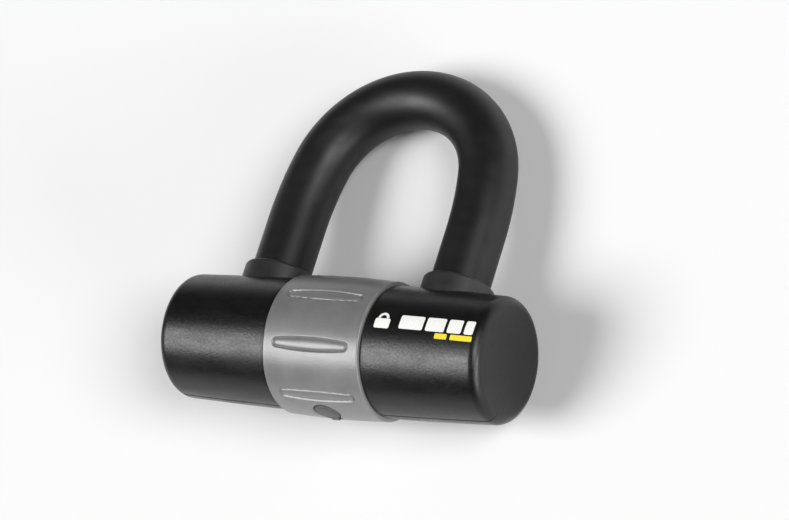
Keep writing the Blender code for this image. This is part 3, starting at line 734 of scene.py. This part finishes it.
def make_sleeve():
    """The keyhole's liner, with two ears for the cover's hinge pin."""
    front = COVER_FACE + COVER_THICKNESS + GAP
    bore = COVER_RADIUS - SLEEVE_WALL
    edge = 0.2 * MM
    outline = [(bore, -SLEEVE_BACK), (bore, -front - edge), (bore + edge, -front),
               (COVER_RADIUS - edge, -front), (COVER_RADIUS, -front - edge), (COVER_RADIUS, -SLEEVE_BACK)]
    sleeve = turned("keyhole_liner", outline, 96, direction_turn((0, -1, 0)))
    back = HINGE_Y + KNUCKLE_RADIUS
    ears = block("hinge_ears", (-EAR_END, HINGE_Y - EAR_ROUND_HINGE, HINGE_Z - EAR_ROUND_HINGE),
                 (EAR_END, back, -(bore + COVER_RADIUS) / 2))
    between = block("between_ears", (-KNUCKLE_HALF - GAP, 2 * HINGE_Y, 2 * HINGE_Z),
                    (KNUCKLE_HALF + GAP, back + GAP, HINGE_Z + KNUCKLE_RADIUS + GAP))
    over = block("over_ears", (-2 * EAR_END, 2 * HINGE_Y, HINGE_Z + EAR_ROUND_HINGE), (2 * EAR_END, front, 0))
    pin_hole = hinge_rod("ear_hole", HINGE_PIN_RADIUS + RUNNING, 2 * EAR_END)
    carve(sleeve, ears, operation="UNION")
    carve(sleeve, between, over, pin_hole)
    place_piece(sleeve, "trim", "crossbar", "keyhole_trim", "keyhole_sleeve")


def make_cover():
    """The round flap over the keyhole: a shallow dome with a fine groove by its rim, an arm and a knuckle."""
    face, back = -COVER_FACE, -COVER_FACE - COVER_THICKNESS
    rim = 0.35 * MM
    shoulder = face - 0.25 * MM
    groove_side, groove_floor = shoulder + 0.02 * MM, shoulder - 0.06 * MM
    outline = [(0.1 * MM, face), (1.0 * MM, face - 0.02 * MM), (2.2 * MM, face - 0.10 * MM)]
    outline += [(COVER_RADIUS - 2.2 * rim, groove_side), (COVER_RADIUS - 1.9 * rim, groove_floor),
                (COVER_RADIUS - 1.5 * rim, groove_floor), (COVER_RADIUS - 1.2 * rim, groove_side)]
    outline += arc((COVER_RADIUS - rim, shoulder - rim), rim, pi / 2, 0, 5)
    outline += arc((COVER_RADIUS - rim, back + rim), rim, 0, -pi / 2, 5)
    outline += [(0.1 * MM, back)]
    cover = turned("keyhole_flap", outline, 96, direction_turn((0, -1, 0)), closed=False)
    bevel = 0.1 * MM
    barrel = [(KNUCKLE_RADIUS - bevel, -KNUCKLE_HALF), (KNUCKLE_RADIUS, bevel - KNUCKLE_HALF),
              (KNUCKLE_RADIUS, KNUCKLE_HALF - bevel), (KNUCKLE_RADIUS - bevel, KNUCKLE_HALF)]
    hinge = direction_turn((1, 0, 0), (0, HINGE_Y, HINGE_Z))
    knuckle = turned("flap_knuckle", barrel, 48, hinge, closed=False)
    arm = block("flap_arm", (-KNUCKLE_HALF, NECK_FRONT, HINGE_Z - ARM_HALF),
                (KNUCKLE_HALF, COVER_FACE + COVER_THICKNESS - RUNNING / 2, HINGE_Z + COVER_RADIUS / 2))
    neck = block("flap_neck", (-KNUCKLE_HALF, NECK_FRONT, HINGE_Z - ARM_HALF),
                 (KNUCKLE_HALF, HINGE_Y, HINGE_Z + ARM_HALF))
    pin_room = hinge_rod("flap_pin_room", HINGE_PIN_RADIUS + RUNNING, EAR_END)
    carve(cover, arm, neck, knuckle, operation="UNION")
    carve(cover, pin_room)
    place_piece(cover, "trim", "keyhole_cover", "keyhole_trim", "keyhole_cover")


# ---------------------------------------------------------------- printed label

LABEL_HEIGHT = 4.0 * MM
LABEL_ANGLE = radians(94)
LABEL_THICKNESS = 0.03 * MM
LABEL_STEP = 0.35 * MM
PADLOCK_X = 20.5 * MM
PADLOCK_SIZE = 1.15 * LABEL_HEIGHT
BARS_START = 25.8 * MM
BAR_LENGTHS = (7.2 * MM, 5.7 * MM, 4.2 * MM, 2.7 * MM)
BAR_SPACE = 0.9 * MM
LINE_SPANS = ((37.2 * MM, 40.9 * MM), (41.9 * MM, 48.4 * MM))
LINE_HEIGHT = 1.5 * MM
LINE_DROP = 1.9 * MM


def on_jacket(x, v, lift):
    """A point of the right jacket's face: x along the bar, and v up it from the label's middle line."""
    radius = jacket_radius(x)
    angle = LABEL_ANGLE + v / radius
    return (x, -(radius + lift) * cos(angle), (radius + lift) * sin(angle))


def ink_shape(name, outlines, look):
    """Ink in the shape of flat outlines of (x, v) points, wrapped round the jacket."""
    bm = bmesh.new()
    for outline in outlines:
        flat = [bm.verts.new((x, v, 0)) for x, v in outline]
        bm.faces.new(flat)
    bmesh.ops.triangulate(bm, faces=bm.faces)
    for _ in range(3):
        long_edges = [e for e in bm.edges if e.calc_length() > 2 * LABEL_STEP]
        if long_edges:
            bmesh.ops.subdivide_edges(bm, edges=long_edges, cuts=1)
            bmesh.ops.triangulate(bm, faces=bm.faces)
    bmesh.ops.recalc_face_normals(bm, faces=bm.faces)
    bottom = list(bm.faces)
    made = bmesh.ops.extrude_face_region(bm, geom=bottom)
    top = {v for v in made["geom"] if isinstance(v, bmesh.types.BMVert)}
    for vert in bm.verts:
        lift = LABEL_THICKNESS if vert in top else -LABEL_THICKNESS
        vert.co = on_jacket(vert.co.x, vert.co.y, lift)
    bmesh.ops.recalc_face_normals(bm, faces=bm.faces)
    mesh = bpy.data.meshes.new(name)
    bm.to_mesh(mesh)
    bm.free()
    obj = bpy.data.objects.new(name, mesh)
    obj["smooth"] = 50
    bpy.context.scene.collection.objects.link(obj)
    place_piece(obj, look, "crossbar", "jacket")


def round_bar(x_low, x_high, v_low, v_high, corner=0.5 * MM):
    """The outline of a bar with round corners."""
    centres = ((x_high, v_high, 0), (x_low, v_high, pi / 2), (x_low, v_low, pi), (x_high, v_low, 3 * pi / 2))
    points = []
    for x, v, start in centres:
        x += corner if x == x_low else -corner
        v += corner if v == v_low else -corner
        points += arc((x, v), corner, start, start + pi / 2, 5)
    return points


def padlock(x, size):
    """A padlock's outlines: a body, and a bow as half a ring just above it."""
    half = size / 2
    top = 0.12 * size
    body = round_bar(x - half, x + half, -half, top)
    centre = (x, top + 0.02 * size)
    bow = arc(centre, 0.36 * size, 0, pi, 14) + arc(centre, 0.20 * size, pi, 0, 10)
    return [body, bow]


def make_label():
    """A generic label: a padlock, four white bars and two thin yellow ones, with no lettering."""
    half = LABEL_HEIGHT / 2
    ink_shape("label_padlock", padlock(PADLOCK_X, PADLOCK_SIZE), "white_ink")
    bars = []
    start = BARS_START
    for length in BAR_LENGTHS:
        bars.append(round_bar(start, start + length, -half, half))
        start += length + BAR_SPACE
    ink_shape("label_bars", bars, "white_ink")
    low = -half - LINE_DROP
    yellow = [round_bar(start, end, low, low + LINE_HEIGHT, corner=0.3 * MM) for start, end in LINE_SPANS]
    ink_shape("label_line", yellow, "yellow_ink")


# ---------------------------------------------------------------- carried-over CAD pieces


def finish_cad_nodes():
    """The pieces inside the crossbar keep their CAD shape and get their own metal."""
    finishes = {"crossbar_tube": ("X", (0, 0, 0), DARK_STEEL, (0.30, 0.50))}
    for side, sign in SIDES:
        for name in ("end_plug_", "end_pin_", "housing_pin_"):
            low, high = level_box(name + side)
            axis = "X" if name == "end_plug_" else "Z"
            finishes[name + side] = (axis, (low + high) / 2, STEEL, (0.25, 0.40))
        low, high = level_box("bolt_" + side)
        finishes["bolt_" + side] = ("X", (low + high) / 2, STEEL, (0.18, 0.34))
    for name in ("anti_drill_plate", "bolt_cam", "locking_bar"):
        finishes[name] = ("Y", (0, 0, 0), STEEL, (0.25, 0.42))
    for name in ("barrel_pin", "cover_hinge_pin"):
        low, high = level_box(name)
        finishes[name] = ("Z" if name == "barrel_pin" else "X", (low + high) / 2, STEEL, (0.25, 0.40))
    for name in ["cylinder_barrel", "lock_rotor"] + ["code_disc_%d" % (i + 1) for i in range(5)]:
        finishes[name] = ("Y", (0, 0, 0), BRASS, (0.24, 0.42))
    for name, (axis, centre, colours, gloss) in finishes.items():
        give(name, turned_metal(name + "_metal", colours, gloss, axis, tuple(centre)))
    for name in ("lock_housing", "leg_guide_left", "leg_guide_right"):
        give(name, LOOKS["zinc"])


def give(name, material):
    materials = frame["nodes"][name].data.materials
    materials.clear()
    materials.append(material)


# ---------------------------------------------------------------- studio

CAMERA_AZIMUTH = 66.13
CAMERA_ELEVATION = 54.48
CAMERA_ROLL = -57.58
CAMERA_DISTANCE = 1180.2 * MM
CAMERA_SHIFT = (5.9 * MM, -6.4 * MM)
CAMERA_LENS = 198.7

# Name, azimuth, elevation, strength, and width in degrees as seen from the lock
LIGHTS = (("key_light", -58, 51, 2.9, 34),
          ("front_side_light", 60, 12, 1.0, 22),
          ("side_light", 92, 43, 2.0, 30),
          ("low_side_light", 80, 2, 2.0, 22))
SKY_STRENGTH = 0.06
FLOOR_HALF = 12.0
FLOOR_COLOUR = (0.74, 0.74, 0.74, 1)


def direction(azimuth, elevation):
    """The direction from the lock towards an azimuth and an elevation, in degrees."""
    a, e = radians(azimuth), radians(elevation)
    return Vector((sin(a) * cos(e), -cos(a) * cos(e), sin(e)))


def make_camera():
    back = direction(CAMERA_AZIMUTH, CAMERA_ELEVATION)
    level = Matrix.Rotation(radians(CAMERA_AZIMUTH), 3, "Z") @ Vector((1, 0, 0))
    roll = Matrix.Rotation(radians(CAMERA_ROLL), 3, back)
    right = roll @ level
    up = back.cross(right)
    middle = (cad_box[0] + cad_box[1]) / 2
    data = bpy.data.cameras.new("camera")
    data.lens = CAMERA_LENS
    data.clip_end = 100
    camera = bpy.data.objects.new("camera", data)
    place = middle + CAMERA_SHIFT[0] * right + CAMERA_SHIFT[1] * up + CAMERA_DISTANCE * back
    turn = Matrix((right, up, back)).transposed().to_4x4()
    camera.matrix_world = Matrix.Translation(place) @ turn
    bpy.context.scene.collection.objects.link(camera)
    bpy.context.scene.camera = camera


def make_light(name, azimuth, elevation, strength, width):
    """A wide soft light from one direction, like a large softbox far away."""
    data = bpy.data.lights.new(name, "SUN")
    data.energy = strength
    data.angle = radians(width)
    light = bpy.data.objects.new(name, data)
    light.rotation_mode = "QUATERNION"
    light.rotation_quaternion = direction(azimuth, elevation).to_track_quat("Z", "Y")
    bpy.context.scene.collection.objects.link(light)


def make_floor():
    half = FLOOR_HALF
    mesh = bpy.data.meshes.new("floor")
    corners = [(-half, -half, 0), (half, -half, 0), (half, half, 0), (-half, half, 0)]
    mesh.from_pydata(corners, [], [(0, 1, 2, 3)])
    floor = bpy.data.objects.new("floor", mesh)
    material, _, shader, _ = blank_material("floor_white")
    shader.inputs["Base Color"].default_value = FLOOR_COLOUR
    shader.inputs["Roughness"].default_value = 0.9
    shader.inputs["Specular IOR Level"].default_value = 0.1
    mesh.materials.append(material)
    bpy.context.scene.collection.objects.link(floor)


def make_studio():
    make_floor()
    for light in LIGHTS:
        make_light(*light)
    world = bpy.data.worlds.new("studio")
    world.use_nodes = True
    background = world.node_tree.nodes["Background"]
    background.inputs["Color"].default_value = (1, 1, 1, 1)
    background.inputs["Strength"].default_value = SKY_STRENGTH
    bpy.context.scene.world = world
    bpy.context.scene.view_settings.view_transform = "Standard"


# ---------------------------------------------------------------- assembly

make_camera()
make_studio()
make_coat()
make_core()
make_band()
for side, sign in SIDES:
    make_jacket(side, sign)
    make_collar(side, sign)
make_sleeve()
make_cover()
make_label()
finish_cad_nodes()
